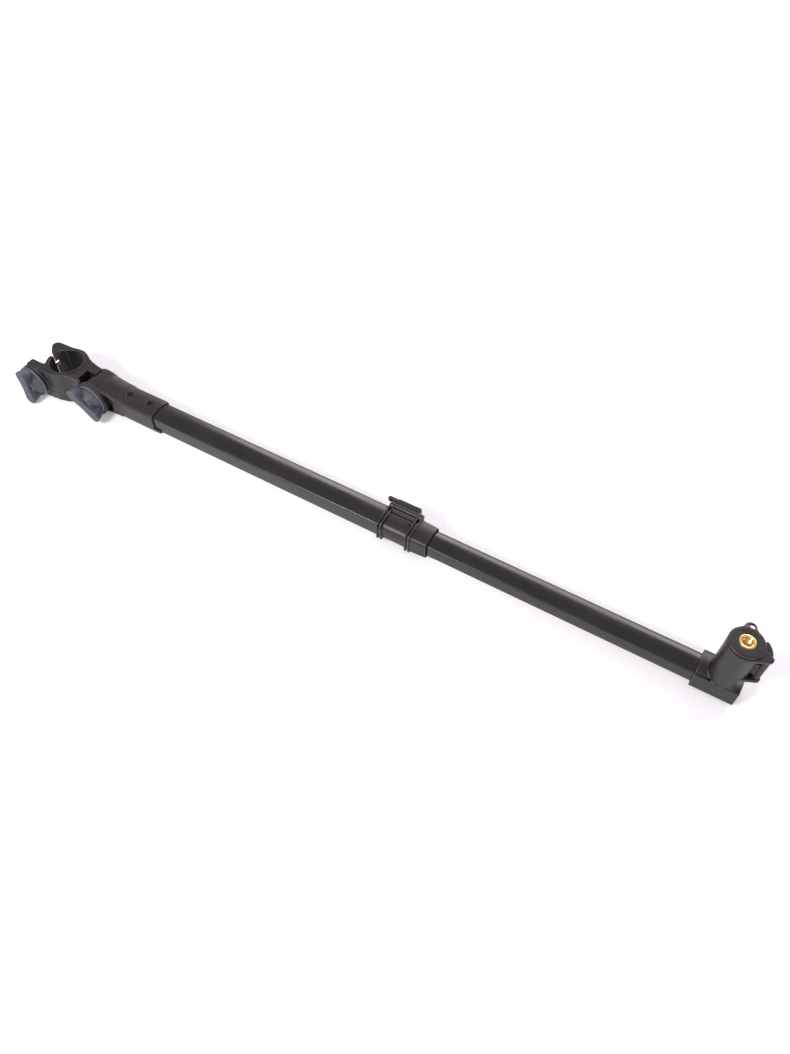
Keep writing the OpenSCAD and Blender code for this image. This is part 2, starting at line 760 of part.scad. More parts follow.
// Outline of the plates that carry the lever pin, grown by g: the near edge
// leaves the barrel almost at a tangent, the far edge slants to the slot
module pin_outline(g) {
  post = [post_x, 0];
  pin = [pin_x, pin_y];
  span = pin - post;
  r = plate_r + g;
  near_turn = atan2(span[1], span[0]) - acos((post_r - plate_r) / norm(span));
  near = [cos(near_turn), sin(near_turn)];
  far = [cos(slot_turn), sin(slot_turn)];
  along = [-far[1], far[0]];
  translate(pin) circle(r = r);
  polygon([post, post + (post_r - seat) * near, pin + r * near, pin + r * far,
    pin + r * far + plate_l * along]);
}

// Level plate that carries one end of the lever pin
module pin_plate(z0, z1) {
  translate([0, 0, z0]) linear_extrude(height = z1 - z0) pin_outline(0);
}

module end_socket() {
  color(plastic) difference() {
    union() {
      // side walls and arched cover over the tube end
      round_slab(end_x, box_end, -box_w, box_w, -box_h, box_h, 1);
      oval_bar(end_x, post_x, box_w - cover_in, box_h + cover_rise, tube_rise, cover_round);
      rod_z(post_x, 0, -box_h, post_top, post_r);
      // thin base skirt round the foot of the barrel
      translate([post_x, 0, box_h - eps]) cylinder(r1 = skirt_r, r2 = post_r, h = skirt_h);
      pin_plate(lever_gap_top, post_top);
      pin_plate(lever_gap_low - plate_t, lever_gap_low);
    }
    oval_bar(end_x - over, in_end + 0.1, in_w + seat, in_h + seat, inner_rise, inner_corner);
    // bore of the plug and window of the brake pad
    rod_z(post_x, 0, cavity_low, post_top + over, plug_r);
    block([post_x, pin_y - pad_w / 2, lever_gap_low + pad_end],
      [post_x + away, pin_y + pad_w / 2, lever_gap_top - pad_end]);
    rod_z(pin_x, pin_y, lever_gap_low - plate_t + pin_in, post_top - pin_in, end_pin_r + run);
    // screw holes from below
    for (x = end_screw_xs) {
      rod_z(x, 0, -away, 0, end_screw_r);
      rod_z(x, 0, -away, end_head_z, end_head_r);
    }
  }
}

module end_socket_screws() {
  color(steel) for (x = end_screw_xs) {
    rod_z(x, 0, end_head_z - end_head_h, end_head_z, end_head_r - seat);
    rod_z(x, 0, end_head_z - 0.1, -in_h - 0.4, end_screw_r - snug);
  }
}

module end_lever_pin() {
  z0 = lever_gap_low - plate_t + pin_in + 0.1;
  color(steel) rod_z(pin_x, pin_y, z0, post_top - pin_in - 0.1, end_pin_r);
}

module end_lever() {
  z0 = lever_gap_low + fit;
  z1 = lever_gap_top - fit;
  color(plastic) difference() {
    union() {
      rod_z(pin_x - cam_off, pin_y, z0, z1, cam_r);
      block([pin_x - web_t, pin_y + 1, z0], [pin_x + web_right, web_far, z1]);
      // ribbed wall that shows between the plates
      block([post_x + wall_x, web_near, z0], [pin_x + web_right, web_far + 0.2, z1]);
      thumb_piece();
    }
    rod_z(pin_x, pin_y, 0, post_top + over, end_pin_r + run);
    rod_z(post_x, 0, 0, post_top + over, post_r + 1);
    rod_z(post_x + rib_x, web_near, z0 + rib_in, z1 - rib_in, rib_hole_r);
  }
}

// Short curved thumb piece beside the barrel, beyond the slot of the plates
module thumb_piece() {
  translate([0, 0, thumb_low]) linear_extrude(height = post_top - 0.3 - thumb_low) difference() {
    intersection() {
      translate([post_x + thumb_x, thumb_y]) circle(r = thumb_r);
      polygon([[post_x, thumb_side], [post_x + thumb_far[0], thumb_side],
        [post_x + thumb_far[0], thumb_far[1]]]);
    }
    translate([post_x, 0]) circle(r = post_r + 1);
    pin_outline(0.5);
  }
}

module end_pad() {
  color(rubber) difference() {
    block([post_x + plug_r - pad_in, pin_y - pad_w / 2 + fit, lever_gap_low + pad_end + fit],
      [pin_x - cam_r - cam_off - 0.1, pin_y + pad_w / 2 - fit, lever_gap_top - pad_end - fit]);
    rod_z(post_x, 0, 0, post_top + over, shaft_r + 0.1);
  }
}

module plug_ring() {
  color(rubber) translate([post_x, 0, ring_z])
    rotate_extrude() translate([shaft_r - ring_in, 0]) circle(r = ring_r0, $fn = 24);
}

module insert_plug() {
  color(plastic) difference() {
    union() {
      rod_z(post_x, 0, plug_low, head_low + eps, shaft_r);
      rod_z(post_x, 0, head_low, head_top, head_r);
      translate([post_x, 0, head_low]) linear_extrude(height = head_t - 0.4) {
        translate([tab_x, tab_y - 1]) circle(r = tab_r);
        polygon([[tab_foot[1], tab_root], [tab_foot[0], tab_root], [tab_edge[0], tab_y - 1],
          [tab_edge[1], tab_y - 1]]);
      }
    }
    rod_z(post_x, tab_y, head_low - over, head_top + over, eye_r);
    rod_z(post_x, 0, head_top - insert_l - 0.1, head_top + over, brass_d / 2 + snug);
    rod_z(post_x, 0, plug_low - over, head_top + over, thread_d / 2 + 0.5);
    // groove of the friction ring
    difference() {
      rod_z(post_x, 0, ring_z - groove_h, ring_z + groove_h, shaft_r + over);
      rod_z(post_x, 0, ring_z - 2 * groove_h, ring_z + 2 * groove_h, shaft_r - groove_in);
    }
  }
}

module thread_insert() {
  r = thread_d / 2;
  z1 = head_top + insert_up;
  color(brass) difference() {
    rod_z(post_x, 0, head_top - insert_l, z1, brass_d / 2);
    rod_z(post_x, 0, 0, z1 + over, r);
    translate([post_x, 0, z1 - chamfer + 0.1]) cylinder(r1 = r, r2 = r + chamfer, h = chamfer);
  }
}

clamp_body();
bore_liner();
clamp_nut();
clamp_washer();
clamp_knob();
clamp_stud();
arm_socket();
socket_screws();
pivot_bolt();
pivot_washer();
pivot_knob();
pivot_knob_nut();
outer_tube();
collar_body();
collar_bush();
collar_screw();
collar_lever_pin();
collar_lever();
collar_pad();
inner_tube();
inner_tube_plug();
end_socket();
end_socket_screws();
end_lever_pin();
end_lever();
end_pad();
plug_ring();
insert_plug();
thread_insert();
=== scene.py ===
import math

import bpy
import numpy as np
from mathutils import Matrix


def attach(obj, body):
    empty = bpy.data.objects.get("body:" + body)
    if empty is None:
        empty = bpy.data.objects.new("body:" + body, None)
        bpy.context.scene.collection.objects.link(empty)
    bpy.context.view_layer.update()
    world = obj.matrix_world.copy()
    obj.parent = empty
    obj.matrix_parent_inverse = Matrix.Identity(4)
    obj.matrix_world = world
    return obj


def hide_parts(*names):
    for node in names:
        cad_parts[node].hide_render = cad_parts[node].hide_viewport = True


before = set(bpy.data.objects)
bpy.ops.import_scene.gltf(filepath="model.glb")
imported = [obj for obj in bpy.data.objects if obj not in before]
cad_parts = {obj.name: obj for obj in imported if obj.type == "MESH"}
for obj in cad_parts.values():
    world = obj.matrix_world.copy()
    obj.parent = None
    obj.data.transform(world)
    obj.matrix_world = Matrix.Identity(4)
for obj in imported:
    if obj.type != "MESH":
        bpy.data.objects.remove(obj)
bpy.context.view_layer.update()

import openvdb
from mathutils import Vector

MM = 0.001
CELL = 0.4     # grid step of the large solid pieces, mm
FINE = 0.3     # of the small ones
FINEST = 0.25
BAND = 3       # cells kept on each side of a surface

# Sizes shared by the pieces, mm, in the frame's own axes
CLAMP_Z = 18.5                     # half height of the clamp
BOLT = -28.0                       # clamping bolt, along the arm
PIVOT = 46.5                       # tilt axis, along the arm
BARREL_R = 17.5
PIVOT_HOLE = 4.08
SCREW_XS = (90, 117)               # screws on the sleeve
PIN_R = 1.5                        # both lever pins
PIN_HOLE = 1.58
RISE = 3.2                         # arch of the outer outlines
# outlines are half width, half side, rise and corner radius
OUTER = (12.4, 8.2, RISE, 1.6)
OUTER_SEAT = (12.45, 8.25, RISE, 1.6)
INNER = (10.8, 6.6, 2.9, 1.3)
INNER_SEAT = (10.85, 6.65, 2.9, 1.3)
WAY = (11.1, 6.9, 3.1, 1.0)        # sliding way through the collar
SLEEVE = (14.2, 10, RISE, 1.4)     # sleeve of the arm socket
SLEEVE_END = 129
OUTER_X = (80.1, 406.4)
INNER_X = (132, 712.8)
COLLAR = 402                       # left face of the collar
FLANGE = 5
RECESS = (407, 432)
COLLAR_SLEEVE = 437
COLLAR_END = 454
COLLAR_SCREW = 429.4
LEVER = (12.2, 12.2)               # pin of the collar lever, across the arm
GRIP = (407.3, 431.7)              # both ends of that lever
POST = 725.5                       # upright barrel
POST_R = 14.2
POST_TOP = 57.0
PIN = (744.8, -3.0)                # pin of the end lever
PLATE_R = 3.4
END_SCREW_XS = (708, 712)
PLUG_TOP = 61.3
THROUGH = 60                       # reach of a cut that runs right through


# ---------------------------------------------------------------- solids
# A solid is a signed distance in millimetres on open grids x, y, z.

def cells(lo, hi, h=CELL):
    """Open grids over a box, with a margin of BAND cells round it."""
    return np.ix_(*[np.arange(a - BAND * h, b + (BAND + 0.5) * h, h, dtype=np.float32)
                    for a, b in zip(lo, hi)])


def join(a, b, k=0.0):
    """Union, with a fillet of about k."""
    m = np.minimum(a, b)
    if k:
        h = np.maximum(k - np.abs(a - b), 0) / k
        m = m - h * h * (k * 0.25)
    return m


def meet(a, b, k=0.0):
    """Intersection, its edge rounded by about k."""
    m = np.maximum(a, b)
    if k:
        h = np.maximum(k - np.abs(a - b), 0) / k
        m = m + h * h * (k * 0.25)
    return m


def cut(a, b, k=0.0):
    """What is left of a outside b."""
    return meet(a, -b, k)


def slab(u, a, b):
    """All between a and b."""
    return np.abs(u - (a + b) / 2) - (b - a) / 2


def rect(u, v, u0, u1, v0, v1, r=0.0):
    du = slab(u, u0, u1) + r
    dv = slab(v, v0, v1) + r
    return (np.hypot(np.maximum(du, 0), np.maximum(dv, 0))
            + np.minimum(np.maximum(du, dv), 0) - r)


def disc(u, v, cu, cv, r):
    return np.hypot(u - cu, v - cv) - r


def oval(u, v, w, h, rise, r):
    """Flat oval: arched above and below, straight sides at w, corners about r."""
    arch = (w * w + rise * rise) / (2 * rise)
    drop = arch - h - rise
    top = np.hypot(u, v + drop) - arch
    low = np.hypot(u, v - drop) - arch
    return meet(np.maximum(top, low), np.abs(u) - w, r * 1.3)


def six(u, v, r):
    """Hexagon with its flats r from the middle, two of them square to u."""
    slanted = np.maximum(np.abs(u * 0.5 + v * 0.866), np.abs(u * 0.5 - v * 0.866))
    return np.maximum(np.abs(u), slanted) - r


def poly(u, v, pts):
    """Signed distance to a closed outline in the plane of u and v."""
    dist = None
    inside = None
    for (ax, ay), (bx, by) in zip(pts, pts[1:] + pts[:1]):
        ex, ey = bx - ax, by - ay
        t = np.clip(((u - ax) * ex + (v - ay) * ey) / (ex * ex + ey * ey), 0, 1)
        d = np.hypot(u - ax - ex * t, v - ay - ey * t)
        dist = d if dist is None else np.minimum(dist, d)
        crosses = (v >= ay) != (v >= by)
        side = (u - ax) * ey < (v - ay) * ex
        flip = crosses & (side if ey > 0 else ~side)
        inside = flip if inside is None else inside ^ flip
    return np.where(inside, -dist, dist)


def sample(field, p):
    """Trilinear value of a grid at index positions p."""
    top = np.array(field.shape) - 2
    i = np.clip(p.astype(int), 0, top)
    f = p - i
    out = 0
    for c in range(8):
        o = np.array([(c >> 2) & 1, (c >> 1) & 1, c & 1])
        w = np.prod(np.where(o, f, 1 - f), axis=1)
        j = i + o
        out = out + w * field[j[:, 0], j[:, 1], j[:, 2]]
    return out


def surface(name, grid, d):
    """Mesh of the zero level of d, with its normals read from d, and a value that is
    above zero on raised edges, for wear, and below it in creases, for painted shade."""
    x, y, z = grid
    h = float(x[1, 0, 0] - x[0, 0, 0])
    d = np.ascontiguousarray(np.broadcast_to(d, (x.size, y.size, z.size)), dtype=np.float32)
    vdb = openvdb.FloatGrid(BAND * h)
    vdb.copyFromArray(np.clip(d, -BAND * h, BAND * h))
    pts, tris, quads = vdb.convertToPolygons(isovalue=0.0, adaptivity=0.02)
    origin = np.array([x.flat[0], y.flat[0], z.flat[0]])
    grad = np.stack([sample(g, pts) for g in np.gradient(d)], axis=1)
    grad /= np.maximum(np.linalg.norm(grad, axis=1, keepdims=True), 1e-6)
    # move the points most of the way to the true surface
    settle = 0.8
    pts = pts - grad * (np.clip(sample(d, pts), -h, h) / h)[:, None] * settle
    side = np.cross(grad, np.where(np.abs(grad[:, :1]) < 0.7, [[1, 0, 0]], [[0, 1, 0]]))
    side /= np.linalg.norm(side, axis=1, keepdims=True)
    up = np.cross(grad, side)
    reach = 1.6      # cells
    bend = -4 * sample(d, pts)
    for v in (side, up):
        bend = bend + sample(d, pts + v * reach) + sample(d, pts - v * reach)
    bend = bend / (reach * h) ** 2
    mesh = bpy.data.meshes.new(name)
    faces = [tuple(f) for f in tris.tolist()] + [tuple(f) for f in quads.tolist()]
    mesh.from_pydata(((pts * h + origin) * MM).tolist(), [], faces)
    mesh.validate()
    mesh.shade_smooth()
    mesh.normals_split_custom_set_from_vertices(grad.tolist())
    # above zero on raised edges for wear, below zero in creases where it sets painted shade
    edge_wear_and_crease_shade = mesh.attributes.new("edge_wear_and_crease_shade", "FLOAT", "POINT")
    edge_wear_and_crease_shade.data.foreach_set("value", np.clip(bend * 1.1 - 0.2, -1, 1).astype(np.float32))
    return new_object(name, mesh)


# ---------------------------------------------------------------- lofted pieces

def new_object(name, mesh):
    obj = bpy.data.objects.new(name, mesh)
    bpy.context.scene.collection.objects.link(obj)
    return obj


def loft(name, bands, sharp=35.0):
    """Mesh from bands of rings (mm). Each band is (rings, closed): closed bands
    join their last ring to the first, open ones are capped at both ends."""
    verts, faces = [], []
    for rings, closed in bands:
        base = len(verts)
        n = len(rings[0])
        m = len(rings)
        for ring in rings:
            verts += [(p[0] * MM, p[1] * MM, p[2] * MM) for p in ring]
        for i in range(m if closed else m - 1):
            a, b = base + i * n, base + (i + 1) % m * n
            faces += [(a + j, a + (j + 1) % n, b + (j + 1) % n, b + j) for j in range(n)]
        if not closed:
            faces.append(tuple(base + n - 1 - j for j in range(n)))
            faces.append(tuple(base + (m - 1) * n + j for j in range(n)))
    mesh = bpy.data.meshes.new(name)
    mesh.from_pydata(verts, [], faces)
    mesh.validate()
    mesh.shade_smooth()
    mesh.set_sharp_from_angle(angle=math.radians(sharp))
    return new_object(name, mesh)


def oval_ring(x, w, h, rise, r, inset=0.0):
    """Outline of a flat oval at x, drawn in by inset."""
    arch = (w * w + rise * rise) / (2 * rise)
    drop = arch - h - rise
    yc = math.sqrt((arch - r) ** 2 - (w - r) ** 2) - drop
    turn = math.atan2(yc + drop, w - r)
    top = [(w - r + (r - inset) * math.cos(a), yc + (r - inset) * math.sin(a))
           for a in np.linspace(0, turn, 8)]
    top += [((arch - inset) * math.cos(a), (arch - inset) * math.sin(a) - drop)
            for a in np.linspace(turn, math.pi / 2, 14)[1:]]
    top += [(-u, v) for u, v in top[-2::-1]]
    ring = top + [(u, -v) for u, v in top[::-1]]
    return [(x, u, v) for u, v in ring]


def place(axis, c, w, r, a):
    """Point at radius r and angle a about an axis through c, at w along it."""
    u, v = r * math.cos(a), r * math.sin(a)
    return {"x": (w, c[0] + u, c[1] + v),
            "y": (c[0] + v, w, c[1] + u),
            "z": (c[0] + u, c[1] + v, w)}[axis]


def ring(axis, c, w, r, n=48, hexed=False):
    """Round or six-sided ring about an axis."""
    out = []
    for i in range(n):
        a = 2 * math.pi * i / n
        q = r / math.cos((a + math.pi / 6) % (math.pi / 3) - math.pi / 6) if hexed else r
        out.append(place(axis, c, w, q, a))
    return out


def turned(axis, c, profile, n=48):
    """Solid of (radius, place[, True for six sides]) steps along an axis."""
    return [ring(axis, c, p[1], max(p[0], 0.02), n, len(p) > 2 and p[2]) for p in profile], False


def thread(axis, c, w0, w1, r, depth, pitch, n=32, inner=False):
    """Rings of a helical thread with its crests at r, cut outwards if inner."""
    rows = 8         # rings in one pitch
    rings = []
    for j in range(int((w1 - w0) / pitch * rows) + 1):
        w = w0 + j * pitch / rows
        points = []
        fade = min(1.0, (w - w0) / pitch, (w1 - w) / pitch)
        for i in range(n):
            a = 2 * math.pi * i / n
            t = abs(((w / pitch - i / n) % 1.0) * 2 - 1)
            cutin = depth * max(fade, 0) * min(max(t * 1.5 - 0.25, 0), 1)
            points.append(place(axis, c, w, r + cutin if inner else r - cutin, a))
        rings.append(points)
    return rings


# ---------------------------------------------------------------- materials

class Graph:
    """A material's node tree, built from short calls."""

    def __init__(self, name):
        self.mat = bpy.data.materials.new(name)
        self.mat.use_nodes = True
        self.tree = self.mat.node_tree
        self.shader = self.tree.nodes["Principled BSDF"]
        self.place = self.node("ShaderNodeTexCoord").outputs["Object"]

    def node(self, kind, values=None, **fields):
        n = self.tree.nodes.new(kind)
        for key, value in fields.items():
            setattr(n, key, value)
        for key, value in (values or {}).items():
            self.put(n.inputs[key], value)
        return n

    def put(self, socket, value):
        if isinstance(value, bpy.types.NodeSocket):
            self.tree.links.new(value, socket)
        else:
            socket.default_value = value

    def stretch(self, sx, sy, sz):
        return self.node("ShaderNodeMapping",
                         {"Vector": self.place, "Scale": (sx, sy, sz)}).outputs[0]

    def noise(self, scale, detail=3.0, rough=0.55, where=None):
        return self.node("ShaderNodeTexNoise", {"Vector": where or self.place, "Scale": scale,
                                                "Detail": detail, "Roughness": rough}).outputs[0]

    def ramp(self, value, lo, hi, to_lo=0.0, to_hi=1.0):
        return self.node("ShaderNodeMapRange", {"Value": value, "From Min": lo, "From Max": hi,
                                                "To Min": to_lo, "To Max": to_hi}).outputs[0]

    def math(self, kind, a, b):
        return self.node("ShaderNodeMath", {0: a, 1: b}, operation=kind).outputs[0]

    def blend(self, a, part_a, b, part_b):
        """Weighted sum of two values."""
        return self.math("ADD", self.math("MULTIPLY", a, part_a), self.math("MULTIPLY", b, part_b))

    def mix(self, t, a, b):
        n = self.node("ShaderNodeMix", data_type="RGBA")
        self.put(n.inputs["Factor"], t)
        self.put(n.inputs[6], a)
        self.put(n.inputs[7], b)
        return n.outputs[2]

    def bump(self, height, strength, distance, normal=None):
        n = self.node("ShaderNodeBump",
                      {"Height": height, "Strength": strength, "Distance": distance})
        if normal:
            self.put(n.inputs["Normal"], normal)
        return n.outputs[0]

    # per-point value: edge wear above zero, painted crease shade below zero
    def edge_wear_and_crease_shade(self):
        return self.node("ShaderNodeAttribute", attribute_name="edge_wear_and_crease_shade").outputs["Fac"]

    def set(self, **values):
        for key, value in values.items():
            self.put(self.shader.inputs[key.replace("_", " ")], value)
        return self.mat


def moulded(name, dark, light, edge, rough, grain=1500, depth=0.00006):
    """Moulded plastic: fine spark grain, slow tone drift, paler worn edges, painted shade in the
    creases.
    """
    g = Graph(name)
    drift = g.ramp(g.noise(38, 4), 0.35, 0.65)
    tone = g.mix(drift, (*dark, 1), (*light, 1))
    scuff = g.ramp(g.noise(260, 5, 0.7), 0.40, 0.62)
    worn = g.math("MULTIPLY", g.ramp(g.edge_wear_and_crease_shade(), 0.15, 0.85), g.ramp(scuff, 0, 1, 0.35, 1.0))
    # painted shade: the base colour goes darker in creases and hollows, down to a quarter of the
    # dark tone
    painted_crease_shade = g.ramp(g.edge_wear_and_crease_shade(), -0.05, -0.7)
    tone = g.mix(painted_crease_shade, tone, (*[c * 0.25 for c in dark], 1))
    g.set(Base_Color=g.mix(worn, tone, (*edge, 1)),
          Roughness=g.ramp(g.blend(drift, 0.5, scuff, 0.5), 0, 1, *rough),
          Normal=g.bump(g.noise(grain, 2, 0.6), 0.35, depth,
                        g.bump(g.noise(120, 3), 0.25, 0.00012)))
    return g.mat


def tube_finish(name, dark, light, rough):
    """Extruded black tube: long drawn lines, faint smudges."""
    g = Graph(name)
    lines = g.noise(1.0, 3, 0.6, g.stretch(6, 1400, 1400))
    broad = g.noise(1.0, 3, 0.5, g.stretch(4, 260, 260))
    smudge = g.ramp(g.noise(30, 4, 0.6), 0.4, 0.68)
    tone = g.mix(g.ramp(lines, 0.3, 0.7), (*dark, 1), (*light, 1))
    g.set(Base_Color=g.mix(g.math("MULTIPLY", smudge, 0.35), tone, (*[c * 1.6 for c in light], 1)),
          Roughness=g.ramp(g.blend(broad, 0.6, smudge, 0.4), 0.2, 0.8, *rough),
          Normal=g.bump(lines, 0.25, 0.00003))
    return g.mat


def metal(name, dark, light, rough, scale=(900, 90, 90)):
    """Plated or turned metal with fine tool lines and slight tarnish."""
    g = Graph(name)
    lines = g.noise(1.0, 3, 0.6, g.stretch(*scale))
    stain = g.ramp(g.noise(240, 4, 0.65), 0.38, 0.66)
    g.set(Base_Color=g.mix(stain, (*light, 1), (*dark, 1)), Metallic=1.0,
          Roughness=g.ramp(g.blend(lines, 0.5, stain, 0.5), 0.2, 0.8, *rough),
          Normal=g.bump(lines, 0.3, 0.00004))
    return g.mat


PLASTIC = moulded("black_plastic", (0.0135, 0.0105, 0.0115), (0.0205, 0.0165, 0.0175),
                  (0.062, 0.055, 0.057), (0.36, 0.5))
KNOB = moulded("knob_grey", (0.052, 0.062, 0.079), (0.066, 0.078, 0.098),
               (0.17, 0.185, 0.21), (0.5, 0.62), 1100, 0.00008)
RUBBER = moulded("black_rubber", (0.007, 0.0065, 0.007), (0.011, 0.0105, 0.011),
                 (0.05, 0.046, 0.048), (0.5, 0.65), 900, 0.0001)
TUBE = tube_finish("anodised_tube", (0.0075, 0.0060, 0.0060), (0.0125, 0.0102, 0.0102),
                   (0.22, 0.34))
STEEL = metal("zinc_steel", (0.44, 0.38, 0.27), (0.74, 0.69, 0.58), (0.25, 0.42))
BLACKENED = metal("black_steel", (0.035, 0.033, 0.036), (0.07, 0.068, 0.075), (0.3, 0.5))
BRASS = metal("brass", (0.86, 0.58, 0.20), (1.0, 0.76, 0.33), (0.18, 0.32), (60, 60, 1800))


def fit(obj, body, slot, node, mat):
    obj.data.materials.append(mat)
    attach(obj, body)
    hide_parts(node)
    return obj


# ---------------------------------------------------------------- clamp head

def clamp_body():
    g = x, y, z = cells((-47, -27, -18.6), (61, 23.1, 18.6))
    piv = np.hypot(x - PIVOT, z)
    clear_r = BARREL_R + 0.16
    tall = slab(z, -CLAMP_Z, CLAMP_Z)
    # ring, near jaw and neck, seen from above
    plan = join(disc(x, y, 0, 0, 23), rect(x, y, -36, -6, -25, -14.5, 2.5), 3)
    neck = poly(x, y, [(4, 22.2), (11, 20.1), (17, 17.1), (23, 14.7), (29, 13.4),
                       (29, -14), (4, -14)])
    body = meet(join(plan, neck, 1.5), tall, 0.9)
    # far jaw: round end, its inner face sloping away at the top
    jaw = join(rect(x, y, -34.8, -8, 5.6, 20.5, 6.6),
               poly(x, y, [(-28, 20.5), (-12, 21.3), (4, 22.6), (4, 9), (-28, 9)]), 0.6)
    slope = (12.8 - y) * 0.74 + (z - CLAMP_Z) * 0.67
    jaw = meet(meet(jaw, tall, 1.2), slope, 1.6)
    body = join(body, jaw, 0.8)
    # near wall that sweeps from the near jaw to the barrel, its far corner rounded
    panel = poly(x, y, [(-21, -25), (-0.8, -24.4), (7.7, -21.8), (13.6, -18.4), (21.7, -16.0),
                        (27.4, -16.0), (34, -16.8), (34, -13.6), (29, -13.2), (-10, -12.5)])
    reach = np.minimum(x - 29.3, rect(x, z, 0, 33.2, -0.5, 18.4, 6))
    panel = meet(meet(panel, tall, 0.8), reach, 0.8)
    body = join(body, panel, 0.8)
    # round boss behind the knob, with a groove round it
    boss = meet(np.hypot(x - BOLT, z) - 18.2, slab(y, -26.5, -18), 1.2)
    groove = meet(slab(y, -23.6, -21.6), 17.0 - np.hypot(x - BOLT, z), 0.4)
    body = join(body, cut(boss, groove, 0.5), 1.0)
    # far cheek, and the tongue that runs into the arm's barrel
    cheek = poly(x, y, [(26, 13.6), (40.6, 11.5), (40.6, 1.5), (26, 1.5)])
    cheek = meet(cheek, slab(z, -6.4, CLAMP_Z), 1.3)
    body = join(body, cheek, 0.3)
    body = cut(body, piv - clear_r, 0.4)
    tongue = join(meet(slab(x, 26, PIVOT), slab(z, -8, 7), 0.5), piv - 13.6, 0.5)
    body = join(body, meet(tongue, slab(y, -12, 1), 0.8), 0.6)
    body = cut(body, meet(piv - 20.1, y + 13.4), 0.7)
    # bore, jaw gap, near arm standing clear of the near jaw
    body = cut(body, np.hypot(x, y) - 19.8, 0.8)
    body = cut(body, poly(x, y, [(-THROUGH, -1.5), (-8, -1.5), (-8, 12.4), (-13.4, 12.4),
                                 (-33, 5.4), (-THROUGH, 5.4)]), 0.8)
    body = cut(body, rect(x, y, -THROUGH, -22.9, -14.5, 5.4, 1.0), 0.8)
    body = cut(body, np.hypot(x - BOLT, z) - 3.3, 0.4)
    body = cut(body, meet(six(x - BOLT, z, 4.33), 15.4 - y), 0.4)
    body = cut(body, piv - PIVOT_HOLE, 0.4)
    return surface("clamp_body_shell", g, body)


def bore_liner():
    g = x, y, z = cells((-21, -21, -19.3), (21, 21, 19.3), FINE)
    r = np.hypot(x, y)
    wall = meet(r - 19.78, slab(z, -19.1, 19.1), 0.4)
    lip = meet(r - 20.4, np.abs(np.abs(z) - 18.85) - 0.35, 0.5)
    liner = cut(join(wall, lip, 0.3), r - 18.0, 0.6)
    liner = cut(liner, rect(x, y, -THROUGH, -8, -1.5, 12.4), 0.5)
    return surface("bore_liner_skin", g, liner)


def wing_knob(name, cx, y0, turn):
    t = math.radians(turn)
    g = x, y, z = cells((cx - 23.5, y0 - 16.4, -23.5), (cx + 23.5, y0 + 0.2, 23.5))
    u = (x - cx) * math.cos(t) - z * math.sin(t)
    v = (x - cx) * math.sin(t) + z * math.cos(t)
    w = y0 - y
    rr = np.hypot(u, v)
    base = meet(rr - 18, slab(w, 0, 3), 1.2)
    rise = np.clip((w - 2) / 8, 0, 1)
    skirt = meet(rr - (8.0 + 9.4 * (1 - rise) ** 1.5), slab(w, 1, 10.5), 0.8) * 0.75
    up = np.clip((w - 3) / 12, 0, 1)
    tip = 11.0 + 4.9 * up ** 0.8
    lobe = np.hypot(np.abs(u) - tip, v) - 6.9 + 0.5 * up
    bar = np.maximum(np.abs(v) - 6.4 + 0.4 * up, np.abs(u) - tip)
    waist = np.hypot(u, np.abs(v) - 32.0) - 26.9
    plan = cut(join(lobe, bar, 1.0), waist, 2.0)
    wing = meet(plan, slab(w, 2, 15.2), 2.4)
    knob = join(join(base, skirt, 0.8), wing, 1.4)
    knob = cut(knob, meet(rr - 3.1, np.abs(w) - 9), 0.3)
    return surface(name, g, knob)


# ---------------------------------------------------------------- knuckle and arm socket

